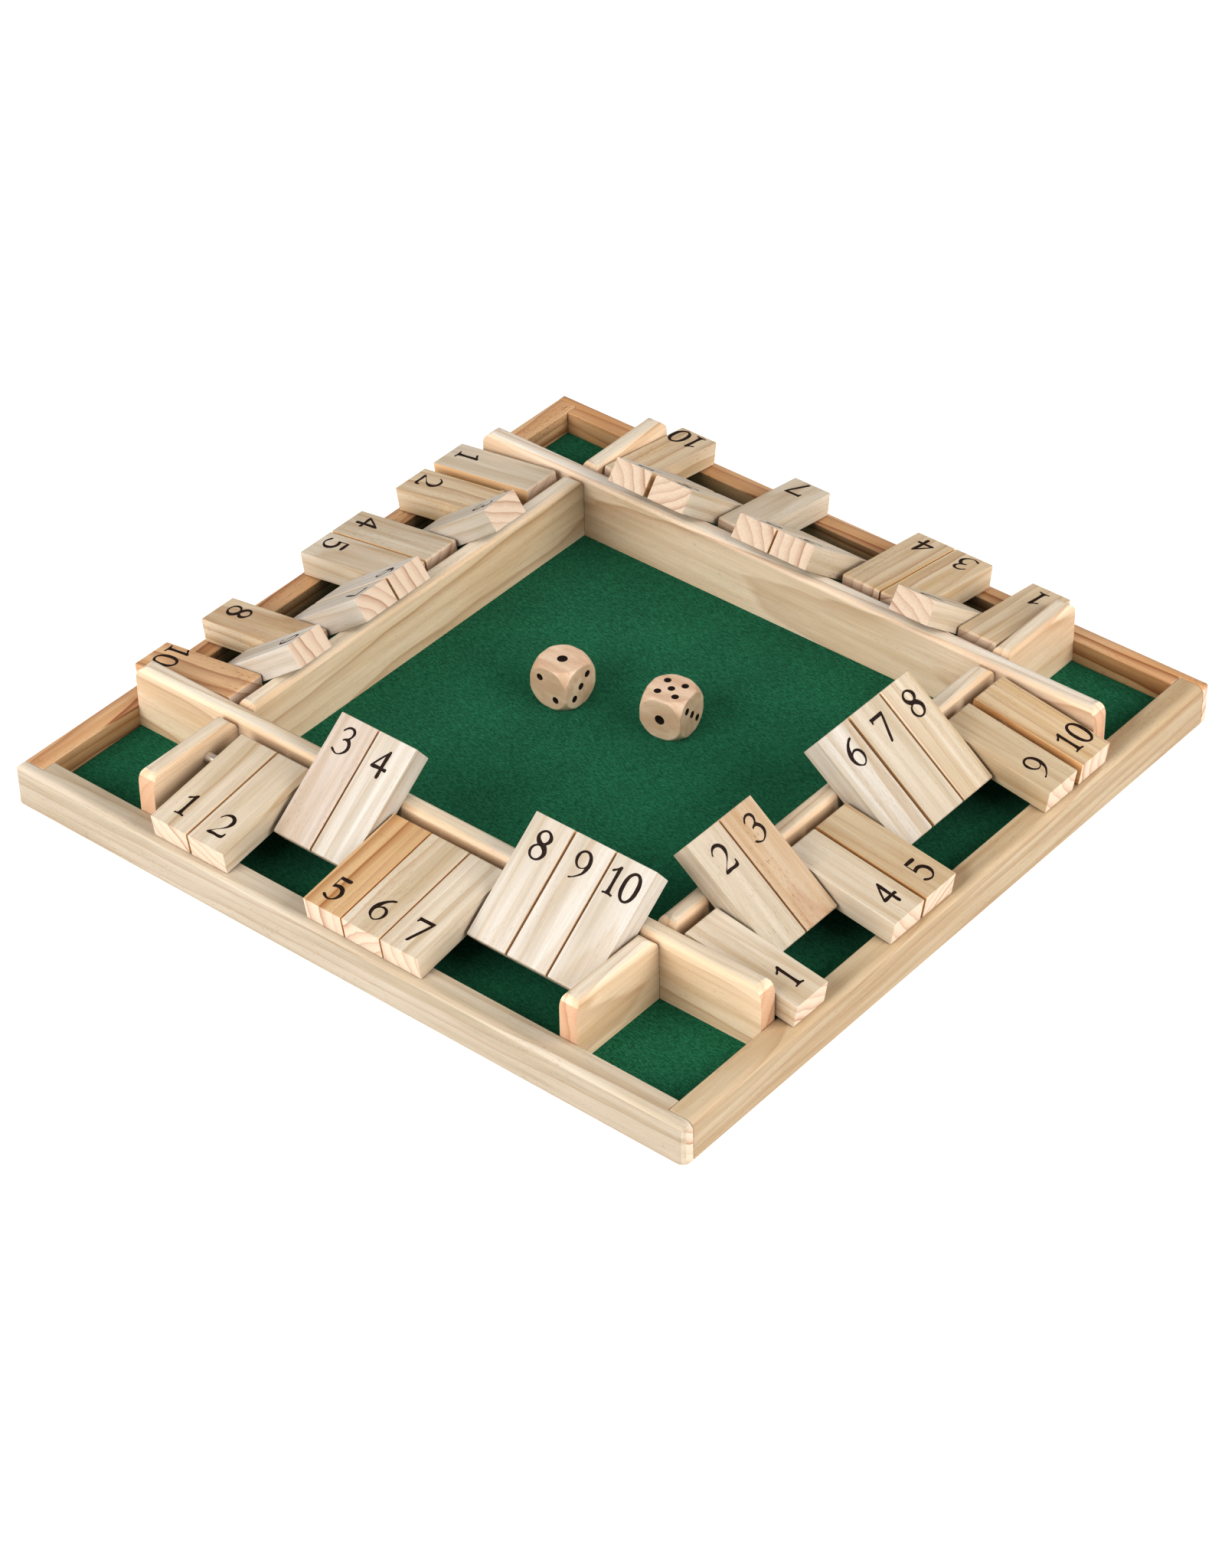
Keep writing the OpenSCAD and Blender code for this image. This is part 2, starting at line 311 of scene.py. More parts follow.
@dataclass(frozen=True)
class PineFinish:
    """Sanded pine with a clear satin coat, drawn as a solid in the piece's own axes.

    Sizes are in millimetres, first along the fibres and then across them. The ring's stops say how
    far a year's wood has darkened at each share of its growth.
    """

    tone: Pine
    sawn: Sawn
    seed: int
    seed_step: Triple = (31.7, 17.3, 11.9)
    bend: float = 4.5
    bend_size: Triple = (70, 15, 15)
    fibre_size: Triple = (18, 0.5, 0.5)
    speck_size: Triple = (0.7, 0.22, 0.22)
    pore_size: Triple = (2.2, 0.2, 0.2)
    streak_size: Triple = (90, 3.4, 3.4)
    cell_size: Triple = (1 / 1.2, 1 / 1.9, 1 / 2.6)
    pore_colour: str = "#7E4F2C"
    relief: float = 0.3
    ring: tuple[tuple, ...] = ((0.0, 0.0), (1.0, 0.0), (0.4, 0.06), (0.76, 0.5), (0.93, 1.0))

    def _rings(self, graph: Graph, axes: Matrix) -> tuple[Wire, Wire, Wire]:
        """Draws the growth rings.

        Args:
            graph: The material's graph.
            axes: The piece's place, with its grain along x and its thickness along z.

        Returns:
            The place in the piece, the latewood from 0 to 1, and slow noises.
        """
        cut: Cut = self.sawn.value
        seed = Vector(self.seed_step) * self.seed
        at = graph.place(axes, seed)
        slow = graph.noise(at, self.bend_size, 2.0, 0.55, "Color")
        slow = graph.node("ShaderNodeSeparateColor", {}, {0: slow}, "Red")
        turn = math.radians(cut.turn)
        heart = seed + cut.reach * Vector((0, math.cos(turn), math.sin(turn)))
        across = graph.vector("MULTIPLY", graph.vector("SUBTRACT", at, tuple(heart)), (0, 1, 1))
        along = graph.vector("DOT_PRODUCT", at, (cut.runout / cut.pitch, 0, 0), out="Value")
        radius = graph.vector("LENGTH", across, out="Value")
        years = radius / cut.pitch + along + slow * (self.bend / cut.pitch)
        year = graph.node("ShaderNodeTexWhiteNoise", {"noise_dimensions": "1D"},
                          {"W": years.whole()}, "Value")
        late = graph.node("ShaderNodeValToRGB", {"stops": self.ring}, {"Fac": years.fraction()})
        return at, late * (0.2 + 0.8 * year), slow

    def long_grain(self, name: str, axes: Matrix, painted_light_tint: Triple | None = None) -> Material:
        """The finish of the faces along the grain.

        Args:
            name: The material's name.
            axes: The piece's place, with its grain along x.
            painted_light_tint: What the colour is multiplied by to paint light and shade on these
                faces, if anything.

        Returns:
            The material.
        """
        tone: Tone = self.tone.value
        graph = Graph(name)
        at, late, slow = self._rings(graph, axes)
        fibre = graph.noise(at, self.fibre_size, 3.0, 0.6)
        speck = graph.noise(at, self.speck_size, 1.0)
        streak = graph.noise(at, self.streak_size, 1.0)
        pores = graph.noise(at, self.pore_size, 0.0).between(0.7, 0.8)
        pores = pores * slow.output("Blue").between(0.4, 0.6) * tone.pores
        blush = slow.output("Green").between(0.35, 0.7) * 0.6 + streak.between(0.4, 0.7) * 0.6
        colour = graph.mix(blush, linear(tone.early), linear(tone.blush))
        colour = graph.mix(late * tone.lines, colour, linear(tone.late))
        colour = graph.mix(pores, colour, linear(self.pore_colour))
        colour = graph.tint(colour, 0.68 + 0.3 * fibre + 0.12 * speck - 0.1 * streak)
        # Painted light and shade: the colour is multiplied by a tint that stands in for how light
        # falls on these faces.
        if painted_light_tint:
            colour = graph.vector("MULTIPLY", colour, painted_light_tint)
        bump = graph.bump(fibre * 0.6 - pores - late * 0.4, 0.12, self.relief)
        return graph.surface(Base_Color=colour, Roughness=0.5 - 0.08 * late, Normal=bump)

    def end_grain(self, name: str, axes: Matrix) -> Material:
        """The finish of the faces across the grain.

        Args:
            name: The material's name.
            axes: The piece's place, with its grain along x.

        Returns:
            The material.
        """
        tone: Tone = self.tone.value
        graph = Graph(name)
        at, late, _ = self._rings(graph, axes)
        cells = graph.noise(at, self.cell_size, 2.0, 0.7)
        colour = graph.mix(late * 0.9, linear(tone.end), linear(tone.end_late))
        colour = graph.tint(colour, 0.8 + 0.4 * cells)
        return graph.surface(Base_Color=colour, Roughness=0.72 - 0.1 * cells,
                             Normal=graph.bump(cells, 0.2, self.relief))

    def dress(self, mesh: Mesh, name: str, axes: Matrix, edges: tuple[int, ...] = (),
              painted_tint: Triple = (1.15, 0.92, 0.66)) -> None:
        """Gives a mesh its long grain, and end grain where a face cuts across the fibres.

        Args:
            mesh: The finished mesh.
            name: What the materials are called after.
            axes: The piece's place, with its grain along x.
            edges: Its sides, -1 and 1 across it, whose colour gets a painted tint of light and
                shade.
            painted_tint: What the colour of those is multiplied by; the warm default is painted
                bounce light, where light is caught in a joint.
        """
        mesh.materials.clear()
        mesh.materials.append(self.long_grain(f"{name}_long_grain", axes))
        mesh.materials.append(self.end_grain(f"{name}_end_grain", axes))
        # Sides in edges get a third material: the long grain under a painted tint of light and
        # shade.
        if edges:
            mesh.materials.append(self.long_grain(f"{name}_edge_grain", axes, painted_tint))
        grain, across = (axes.to_3x3() @ Vector(way) for way in ((1, 0, 0), (0, 1, 0)))
        for face in mesh.polygons:
            lean = face.normal.dot(across)
            if abs(face.normal.dot(grain)) > FACING:
                face.material_index = 1
            elif abs(lean) > FACING and round(lean) in edges:
                face.material_index = 2


@dataclass(frozen=True)
class InkFinish:
    """Dark brown printing ink, a little uneven."""

    deep: str = "#1D100B"
    thin: str = "#3A271D"
    spot: float = 1 / 1.4

    def material(self, name: str) -> Material:
        """The material of the ink.

        Args:
            name: The material's name.

        Returns:
            The material.
        """
        graph = Graph(name)
        spots = graph.noise(graph.place(), (self.spot,) * 3, 2.0, 0.6)
        colour = graph.mix(spots.between(0.3, 0.75), linear(self.deep), linear(self.thin))
        return graph.surface(Base_Color=colour, Roughness=0.5 + 0.25 * spots,
                             Specular_IOR_Level=0.2)


@dataclass(frozen=True)
class FeltFinish:
    """Short green felt, its hairs combed along x. Sizes are in millimetres."""

    deep: str = "#08402B"
    middle: str = "#156E4D"
    light: str = "#4FAA84"
    layers: tuple[int, ...] = (8, 37, 71, 104, 152)
    hair: Triple = (2.2, 0.24, 1.0)
    mottle: float = 0.7
    worn: float = 22.0

    def _hairs(self, graph: Graph, at: Wire) -> Wire:
        """Lays layers of hairs over each other, each read from the noise at its own turn and place.

        Args:
            graph: The material's graph.
            at: The place on the felt.

        Returns:
            The hairs, from 0 to 1.
        """
        hairs = None
        for turn in self.layers:
            lain = graph.node("ShaderNodeMapping", {}, {
                "Vector": at, "Rotation": (0, 0, math.radians(turn)), "Location": (turn, 0, 0),
                "Scale": tuple(1 / length for length in self.hair)})
            layer = graph.noise(lain, (1, 1, 1), 1.0).between(0.55, 0.76)
            hairs = layer if hairs is None else hairs.greater(layer)
        return hairs

    def material(self, name: str) -> Material:
        """The material of the felt.

        Args:
            name: The material's name.

        Returns:
            The material.
        """
        graph = Graph(name)
        at = graph.place()
        hairs = self._hairs(graph, at)
        mottle = graph.noise(at, (self.mottle,) * 3, 3.0, 0.7)
        worn = graph.noise(at, (self.worn,) * 3, 2.0)
        colour = graph.mix(mottle.between(0.25, 0.75), linear(self.deep), linear(self.middle))
        colour = graph.mix(hairs * 0.45, colour, linear(self.light))
        colour = graph.tint(colour, 0.8 + 0.4 * worn)
        bump = graph.bump(hairs * 0.6 + mottle * 0.6, 0.5, 0.4)
        return graph.surface(Base_Color=colour, Roughness=0.96, Normal=bump,
                             Sheen_Weight=0.06, Sheen_Roughness=0.5, Specular_IOR_Level=0.1)


@dataclass(frozen=True)
class SteelFinish:
    """Bright drawn steel, with fine marks along the rod."""

    dark: str = "#CFCFD0"
    bright: str = "#E9E9EA"
    mark: Triple = (9, 0.25, 0.25)

    def material(self, name: str, axes: Matrix) -> Material:
        """The material of the rods.

        Args:
            name: The material's name.
            axes: The rod's place, with its length along x.

        Returns:
            The material.
        """
        graph = Graph(name)
        marks = graph.noise(graph.place(axes), self.mark, 3.0, 0.7)
        colour = graph.mix(marks, linear(self.dark), linear(self.bright))
        return graph.surface(Base_Color=colour, Metallic=1.0, Roughness=0.16 + 0.2 * marks,
                             Normal=graph.bump(marks, 0.1, 0.1))


@dataclass(frozen=True)
class DieFinish:
    """Close grained hardwood, waxed, with dark paint in the pips.

    Sizes are in millimetres, first along the grain and then across it.
    """

    seed: int
    seed_step: Triple = (7.0, 13.0, 5.0)
    pale: str = "#DDC5AE"
    dark: str = "#CBAC92"
    fleck: str = "#AB8468"
    paint_deep: str = "#140C09"
    paint_thin: str = "#2B1C15"
    streak_size: Triple = (14, 4, 5)
    fleck_size: Triple = (2.2, 0.3, 0.3)
    spot: float = 1 / 1.6

    def wood(self, name: str, axes: Matrix) -> Material:
        """The wood of a die.

        Args:
            name: The material's name.
            axes: The die's place and turn.

        Returns:
            The material.
        """
        graph = Graph(name)
        at = graph.place(axes, Vector(self.seed_step) * self.seed)
        streaks = graph.noise(at, self.streak_size, 2.0)
        flecks = graph.noise(at, self.fleck_size, 1.0)
        colour = graph.mix(streaks.between(0.3, 0.7), linear(self.pale), linear(self.dark))
        colour = graph.mix(flecks.between(0.56, 0.78) * 0.5, colour, linear(self.fleck))
        return graph.surface(Base_Color=colour, Roughness=0.38 + 0.1 * flecks,
                             Normal=graph.bump(flecks, 0.06, 0.2),
                             Coat_Weight=0.3, Coat_Roughness=0.25)

    def paint(self, name: str) -> Material:
        """The paint in the pips.

        Args:
            name: The material's name.

        Returns:
            The material.
        """
        graph = Graph(name)
        spots = graph.noise(graph.place(), (self.spot,) * 3, 2.0)
        colour = graph.mix(spots, linear(self.paint_deep), linear(self.paint_thin))
        return graph.surface(Base_Color=colour, Roughness=0.4 + 0.2 * spots, Specular_IOR_Level=0.2)


# --- Mesh work ---


def middle_of(node: str) -> Matrix:
    """The middle of a CAD node's box, in millimetres."""
    low, high = (Vector(corner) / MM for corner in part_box(node))
    return Matrix.Translation((low + high) / 2)


def shape_of_node(node: str, weld: float = 0.002, flat: float = 0.4) -> BMesh:
    """Copies a CAD node's solid, welded and with its flat faces made whole.

    Args:
        node: The node's name.
        weld: How far apart two points may be and still be one, in millimetres.
        flat: The angle between faces that still counts as flat, in degrees.

    Returns:
        The solid, in millimetres.
    """
    bm = bmesh.new()
    bm.from_mesh(frame["nodes"][node].data)
    bmesh.ops.scale(bm, vec=(1 / MM,) * 3, verts=bm.verts)
    bmesh.ops.remove_doubles(bm, verts=bm.verts, dist=weld)
    bmesh.ops.dissolve_limit(bm, angle_limit=math.radians(flat), verts=bm.verts, edges=bm.edges)
    return bm


def sharp_edges(bm: BMesh, beyond: float = 60.0) -> list[BMEdge]:
    """The edges of a solid where two faces meet at more than some degrees."""
    return [e for e in bm.edges if e.calc_face_angle(0.0) > math.radians(beyond)]


def round_edges(bm: BMesh, edges: list[BMEdge], width: float, segments: int = 2,
                clamp: bool = False) -> None:
    """Rounds edges back by some width, in so many facets, and keeps them apart if clamped."""
    bmesh.ops.bevel(bm, geom=edges, offset=width, offset_type="OFFSET", segments=segments,
                    profile=0.5, affect="EDGES", material=-1, clamp_overlap=clamp)


def ease_edges(bm: BMesh, width: float, spare: Callable[[BMEdge], bool] | None = None) -> None:
    """Sands the sharp edges of a solid back by some width, but for those that are to be spared."""
    sharp = [e for e in sharp_edges(bm) if not (spare and spare(e))]
    round_edges(bm, sharp, width, clamp=True)


def mesh_of(name: str, bm: BMesh) -> Mesh:
    """Writes a solid as a mesh.

    Args:
        name: The mesh's name.
        bm: The solid, which is freed.

    Returns:
        The mesh.
    """
    mesh = bpy.data.meshes.new(name)
    bm.to_mesh(mesh)
    bm.free()
    return mesh


def put_in_scene(name: str, data: ID) -> Object:
    """Makes an object at the origin.

    Args:
        name: The object's name.
        data: Its mesh, curve, light or camera.

    Returns:
        The object.
    """
    made = bpy.data.objects.new(name, data)
    bpy.context.scene.collection.objects.link(made)
    return made


def settled_mesh(made: Object) -> Mesh:
    """The mesh that an object's curve or modifiers come to."""
    bpy.context.view_layer.update()
    return bpy.data.meshes.new_from_object(
        made.evaluated_get(bpy.context.evaluated_depsgraph_get()))


def finish_piece(name: str, bm: BMesh, body: str, replaces: str | None = None,
                 crease: float = 32.0) -> Object:
    """Writes a solid as a piece of the board.

    Args:
        name: The piece's name.
        bm: Its solid, in millimetres, which is freed.
        body: The body that it moves with.
        replaces: The CAD node that it stands for.
        crease: The angle between faces that stays a crisp edge, in degrees.

    Returns:
        The piece's object.
    """
    bmesh.ops.scale(bm, vec=(MM,) * 3, verts=bm.verts)
    mesh = mesh_of(name, bm)
    mesh.shade_smooth()
    mesh.set_sharp_from_angle(angle=math.radians(crease))
    piece = put_in_scene(name, mesh)
    piece.modifiers.new("even_shading", "WEIGHTED_NORMAL").keep_sharp = True
    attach(piece, body)
    if replaces:
        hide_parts(replaces)
    log.info("%s: %d faces, on %s", name, len(mesh.polygons), body)
    return piece


class Side(Enum):
    """The four sides of the board, counted anticlockwise from the front."""

    FRONT = 0
    RIGHT = 1
    BACK = 2
    LEFT = 3

    @property
    def label(self) -> str:
        """The side's name in the model."""
        return self.name.lower()

    def turn(self) -> Matrix:
        """The turn that takes a piece from the front to this side."""
        return Matrix.Rotation(self.value * QUARTER_TURN, 4, "Z")


# --- The board ---


@dataclass
class OuterFrame:
    """The four rails round the board, with painted shade darkening their outer faces, and the base
    board in them.
    """

    half_side: float = 142.5
    rail_width: float = 9.7
    rail_height: float = 15.4
    eased: float = 0.45
    base_middle: float = 3.4
    # Painted shade: multiplies the colour of the rails' outer faces, darkening them against the
    # light the floor bounces onto them.
    dulled: Triple = (0.84, 0.83, 0.82)
    boards: dict[Side, PineFinish] = field(default_factory=lambda: {
        Side.FRONT: PineFinish(Pine.BISCUIT, Sawn.STEEP, 1),
        Side.RIGHT: PineFinish(Pine.TAN, Sawn.FLAT, 2),
        Side.BACK: PineFinish(Pine.AMBER, Sawn.RIFT, 3),
        Side.LEFT: PineFinish(Pine.AMBER, Sawn.STEEP, 4),
    })

    def axes(self, side: Side) -> Matrix:
        """A rail's own axes: along it, across it and up."""
        return side.turn() @ Matrix.Translation((0, self.rail_width / 2 - self.half_side,
                                                 self.rail_height / 2))

    def build_rail(self, side: Side) -> None:
        """Makes one rail.

        Args:
            side: The side that it is on.
        """
        node = f"{side.label}_rail"
        bm = shape_of_node(node)
        ease_edges(bm, self.eased)
        rail = finish_piece(f"{node}_pine", bm, "board", node)
        # The outer side, -1 across the rail, gets the painted shade.
        self.boards[side].dress(rail.data, node, self.axes(side), (-1,), self.dulled)

    def build_base(self) -> None:
        """Makes the base board, which shows only from below."""
        bm = shape_of_node("base_board")
        ease_edges(bm, self.eased)
        base = finish_piece("base_board_pine", bm, "board", "base_board")
        middle = Matrix.Translation((0, 0, self.base_middle))
        PineFinish(Pine.STRAW, Sawn.FLAT, 5).dress(base.data, "base_board", middle)

    def build(self) -> None:
        """Makes the rails and the base."""
        for side in Side:
            self.build_rail(side)
        self.build_base()


@dataclass
class FeltBed:
    """The sheet of felt on the base board."""

    side: float = 265.2
    low: float = 5.9
    thickness: float = 1.0
    cells: int = 110
    swell: float = 0.06
    swell_size: float = 9.0
    soft_edge: float = 0.35

    def build(self) -> None:
        """Makes the sheet, with a soft cut edge and a slightly uneven nap."""
        bm = bmesh.new()
        bmesh.ops.create_grid(bm, x_segments=self.cells, y_segments=self.cells, size=self.side / 2)
        bmesh.ops.translate(bm, vec=(0, 0, self.low), verts=bm.verts)
        raised = bmesh.ops.extrude_face_region(bm, geom=bm.faces[:])["geom"]
        top = [v for v in raised if isinstance(v, BMVert)]
        bmesh.ops.translate(bm, vec=(0, 0, self.thickness), verts=top)
        bmesh.ops.recalc_face_normals(bm, faces=bm.faces)
        middle = self.low + self.thickness / 2
        rim = [e for e in sharp_edges(bm) if all(v.co.z > middle for v in e.verts)]
        round_edges(bm, rim, self.soft_edge, segments=3)
        for vert in bm.verts:
            if vert.co.z > middle:
                vert.co.z -= self.swell * (0.5 + 0.5 * noise.noise(vert.co / self.swell_size))
        felt = finish_piece("felt_sheet", bm, "board", "felt", 60)
        felt.data.materials.append(FeltFinish().material("green_felt"))


@dataclass
class TrayWalls:
    """The four walls of the dice tray, halved into each other, with painted light making their tops
    a little paler and cooler.
    """

    middle: float = 89.25
    floor: float = 6.9
    height: float = 25.0
    eased: float = 0.4
    shortest: float = 0.6
    # Painted light: multiplies the colour of the walls' tops, paler and cooler, for the light
    # falling on them from above.
    handled: Triple = (0.93, 1.04, 1.17)
    boards: dict[Side, PineFinish] = field(default_factory=lambda: {
        Side.FRONT: PineFinish(Pine.SAND, Sawn.STEEP, 11),
        Side.RIGHT: PineFinish(Pine.SAND, Sawn.FLAT, 12),
        Side.BACK: PineFinish(Pine.LINEN, Sawn.FLAT, 13),
        Side.LEFT: PineFinish(Pine.SAND, Sawn.STEEP, 14),
    })

    def build_wall(self, side: Side) -> None:
        """Makes one wall.

        Args:
            side: The side that it is on.
        """
        node = f"{side.label}_wall"
        bm = shape_of_node(node)
        ease_edges(bm, self.eased, spare=lambda e: e.calc_length() < self.shortest)
        wall = finish_piece(f"{node}_pine", bm, "board", node)
        middle = Matrix.Translation((0, -self.middle, self.floor + self.height / 2))
        axes = side.turn() @ middle @ Matrix.Rotation(-QUARTER_TURN, 4, "X")
        # Their tops, -1 across the wall's axes, get the painted light.
        self.boards[side].dress(wall.data, node, axes, (-1,), self.handled)

    def build(self) -> None:
        """Makes the four walls."""
        for side in Side:
            self.build_wall(side)


# Each digit, drawn about ten millimetres tall: its outside, then its counters. A point with True
# is a corner, and the outline bends smoothly through the others.
OUTLINES: dict[int, list[list[tuple]]] = {
    0: [[(0, 10.4), (1.8, 9.7), (3.05, 7.7), (3.35, 5.2), (3, 2.6), (1.75, 0.6), (0, -0.1),
      (-1.8, 0.6), (-3.05, 2.6), (-3.35, 5.1), (-3, 7.7), (-1.75, 9.7)], [(0.05, 9.4), (-1.2, 8.6),
      (-1.75, 6.9), (-1.8, 4.6), (-1.45, 2.3), (-0.8, 1.1), (0.1, 0.8), (1.2, 1.7), (1.7, 3.6),
      (1.75, 5.8), (1.45, 7.9), (0.85, 9)]],
    1: [[(0.5, 10.1), (0.93, 9.85), (0.95, 8.6), (0.97, 1.9), (1.2, 0.95), (2.15, 0.62),
      (2.2, 0.08), (0.9, 0.1, True), (-0.7, 0.1, True), (-1.75, 0.1), (-1.7, 0.6), (-0.75, 0.9),
      (-0.48, 1.9), (-0.42, 8.3, True), (-2.1, 7.5), (-2.2, 7.95), (-0.8, 8.95)]],
    2: [[(-3.15, 7), (-3.4, 7.4), (-2.85, 8.5), (-1.95, 9.55), (-0.45, 10.12), (1.35, 9.6),
      (2.5, 8.3), (2.82, 7), (2.35, 5.55), (1.1, 4), (-0.7, 2.5), (-2, 1.15, True), (-1, 1.2),
      (1.7, 1.15), (2.5, 1.5), (2.8, 2.4), (3.2, 2.6), (3.35, 2.2), (3.1, 0.3), (2.7, 0),
      (0, 0, True), (-3.2, 0), (-3.3, 0.35), (-1.3, 2.35), (0.9, 4.85), (1.27, 6.5), (1.05, 7.95),
      (0.4, 8.6), (-0.65, 8.85), (-1.9, 8.55), (-2.75, 7.7)]],
    3: [[(-2.05, 7.6), (-2.25, 7.95), (-1.7, 9), (-0.6, 9.9), (0.9, 10.1), (2.2, 9.5), (2.75, 8.3),
      (2.4, 7.1), (1.85, 6.15, True), (2.7, 5.2), (3.28, 3.6), (3, 2.1), (2, 0.95), (0.65, 0.15),
      (-0.65, -0.13), (-1.7, 0.1), (-2.75, 0.6), (-3.25, 1.05), (-3.1, 1.55), (-2.6, 1.55),
      (-1.3, 0.68), (-0.2, 0.4), (0.95, 1.05), (1.75, 2.1), (1.97, 3.4), (1.6, 4.4), (0.9, 5),
      (0.1, 5.05), (-0.75, 4.85), (-0.8, 5.2), (0, 5.9), (0.95, 6.35), (1.58, 7.35), (1.5, 8.5),
      (0.85, 9.15), (-0.05, 9.15), (-0.98, 8.7), (-1.75, 7.85)]],
    4: [[(1.5, 10.1), (1.8, 9.9), (1.7, 4.05, True), (3.1, 4.05), (3.3, 3.5), (3.1, 2.95),
      (1.7, 2.95, True), (1.68, 0.2), (1.4, -0.08), (0.75, -0.08), (0.48, 0.2), (0.48, 2.95, True),
      (-3.1, 2.88), (-3.3, 3.3), (-2.85, 4.15), (0.55, 9.1)], [(0.5, 8, True), (-2.05, 4.2, True),
      (-1.95, 4.05, True), (0.48, 4.05, True)]],
    5: [[(-2.4, 10), (-1.9, 10.05), (1.8, 10.12), (2.18, 9.9), (2.1, 9), (1.75, 8.75),
      (-2, 8.75, True), (-1.97, 6.45, True), (-0.95, 6.75), (0.1, 6.85), (1.75, 6.25), (2.8, 4.9),
      (3.16, 3.4), (2.65, 1.75), (1.5, 0.6), (-0.1, -0.12), (-1.75, 0.1), (-2.8, 0.7), (-3.15, 1.2),
      (-3, 1.7), (-2.5, 1.75), (-0.85, 0.75), (0.35, 0.68), (1.3, 1.5), (1.65, 2.85), (1.35, 4.3),
      (0.45, 5.2), (-0.8, 5.33), (-2.1, 4.95), (-2.5, 4.95), (-2.48, 5.6, True),
      (-2.42, 9.5, True)]],
    6: [[(2.05, 10.1), (2.45, 9.85), (0.8, 8.55), (-0.35, 7.3), (-1, 5.55, True), (-0.3, 5.98),
      (0.8, 6.1), (2.35, 5.35), (3.15, 3.9), (3.15, 2.65), (2.4, 1.1), (1.3, 0.15), (0.3, -0.2),
      (-1.2, 0.38), (-2.6, 1.5), (-3.15, 3), (-3.2, 4.6), (-2.7, 6.2), (-1.7, 7.65), (-0.1, 9.1)],
      [(0.4, 5.2), (-0.9, 4.85), (-1.6, 4), (-1.65, 2.5), (-1, 1.1), (0.3, 0.42), (1.5, 1.1),
      (2, 2.4), (1.95, 3.6), (1.45, 4.7)]],
    7: [[(-3.1, 10), (-2.4, 10, True), (2.6, 10.1, True), (3.15, 10), (3.15, 9.2), (0, 0.3, True),
      (-0.3, -0.1), (-1.2, -0.12), (-1.2, 0.35), (2, 8.7, True), (-2, 8.65, True), (-2.4, 8.4),
      (-2.75, 7.85), (-3.15, 8), (-3.15, 9, True)]],
    8: [[(-0.15, 10.42), (1.75, 9.75), (2.95, 8.1), (2.65, 6.8), (1.75, 5.85, True), (2.75, 4.6),
      (3.25, 3.25), (2.7, 1.5), (1.45, 0.35), (-0.2, -0.1), (-1.85, 0.35), (-2.9, 1.4),
      (-3.25, 2.7), (-2.7, 4.2), (-1.6, 5.1, True), (-2.55, 6.2), (-3.05, 7.8), (-2.4, 9.3),
      (-1.4, 10.1)], [(-0.05, 9.6), (-1.1, 9.3), (-1.75, 8.4), (-1.6, 7.5), (-0.8, 6.75),
      (0.4, 6.25), (1, 6.65), (1.42, 7.8), (1, 9)], [(-0.5, 4.7), (0.7, 4.15), (1.58, 3.1),
      (1.55, 2.05), (0.85, 1), (-0.2, 0.65), (-1.4, 1.05), (-2.05, 2.1), (-2.1, 3.25),
      (-1.5, 4.25)]],
    9: [[(-0.1, 10.05), (1.5, 9.55), (2.7, 8.2), (3.25, 6.3), (3.1, 4.6), (2.2, 2.7), (0.6, 1.2),
      (-1.15, 0.1), (-2.25, -0.3), (-2.4, 0.05), (-1.15, 0.65), (0.3, 1.8), (1.2, 2.85),
      (1.55, 4.35, True), (0.6, 3.9), (-0.7, 3.72), (-1.9, 4.3), (-2.9, 5.6), (-3.25, 7.1),
      (-2.75, 8.6), (-1.6, 9.7)], [(-0.2, 9.15), (0.9, 8.55), (1.55, 7.25), (1.72, 5.75),
      (1.2, 4.75), (0.05, 4.25), (-1, 4.6), (-1.8, 5.75), (-1.97, 7.35), (-1.6, 8.6)]],
}


@dataclass
class Numerals:
    """Printed lining numerals."""

    height: float = 10.1
    ink: float = 0.02
    thinning: float = -0.05
    steps: int = 6
    weld: float = 0.001
    shapes: dict[int, Mesh] = field(default_factory=dict)

    TEN: ClassVar[list[tuple[float, int]]] = [(-3.7, 1), (2.87, 0)]

    def _digit(self, digit: int) -> Mesh:
        """Makes a digit lying flat about its own middle, once.

        Args:
            digit: Which digit.

        Returns:
            Its mesh, in millimetres, with its face along +z.
        """
        if digit in self.shapes:
            return self.shapes[digit]
        curve = bpy.data.curves.new(f"digit_{digit}", "CURVE")
        curve.dimensions, curve.fill_mode, curve.resolution_u = "2D", "BOTH", self.steps
        curve.offset, curve.extrude = self.thinning, self.ink
        for loop in OUTLINES[digit]:
            spline = curve.splines.new("BEZIER")
            spline.bezier_points.add(len(loop) - 1)
            spline.use_cyclic_u = True
            for point, (x, y, *corner) in zip(spline.bezier_points, loop):
                point.co = (x, y, 0)
                point.handle_left_type = point.handle_right_type = "VECTOR" if corner else "AUTO"
        drawn = put_in_scene(curve.name, curve)
        self.shapes[digit] = settled_mesh(drawn)
        bpy.data.objects.remove(drawn)
        return self.shapes[digit]

    def number(self, value: int, places: list[Matrix]) -> BMesh:
        """Prints a number at some places.

        Args:
            value: The number, from 1 to 10.
            places: Where the middle of its base line goes each time.

        Returns:
            The ink, in millimetres.
        """
        bm = bmesh.new()
        for place in places:
            for shift, digit in self.TEN if value == 10 else [(0.0, value)]:
                copy = self._digit(digit).copy()
                copy.transform(place @ Matrix.Translation((shift, 0, 0)))
                bm.from_mesh(copy)
                bpy.data.meshes.remove(copy)
        bmesh.ops.remove_doubles(bm, verts=bm.verts, dist=self.weld)
        bmesh.ops.recalc_face_normals(bm, faces=bm.faces)
        return bm


